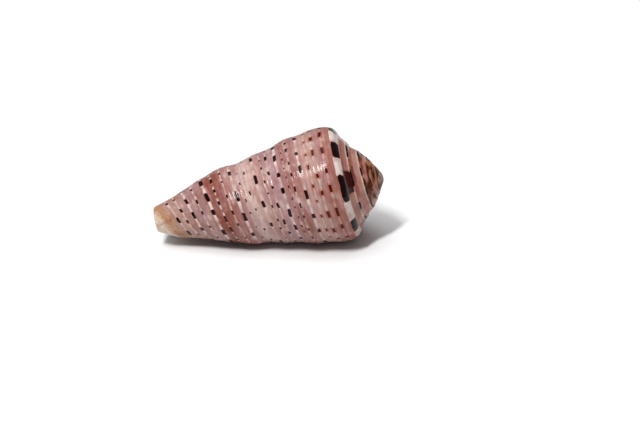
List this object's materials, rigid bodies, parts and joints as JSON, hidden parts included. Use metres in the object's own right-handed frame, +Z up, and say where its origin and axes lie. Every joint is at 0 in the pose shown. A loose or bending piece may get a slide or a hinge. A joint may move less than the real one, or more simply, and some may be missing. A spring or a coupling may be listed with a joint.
{
  "type": "cone shell",
  "caption": "Right-handed cone shell with a low stepped spire, a rounded shoulder, tapering sides and a long narrow aperture, lying on its aperture.",
  "frame": {"origin": "on the resting surface, under the middle of the shell's box", "axes": "+Z up, +X towards the apex; the coiling axis lies in the XZ plane and falls towards the narrow anterior end at -X"},
  "size_m": [0.0494, 0.0264, 0.0244],
  "materials": {
    "shell": "semi-gloss porcelain, mauve-pink spiral bands with rows of dark brown dashes and cream dashes"
  },
  "bodies": {
    "root": {"shell": "shell"}
  },
  "joints": []
}
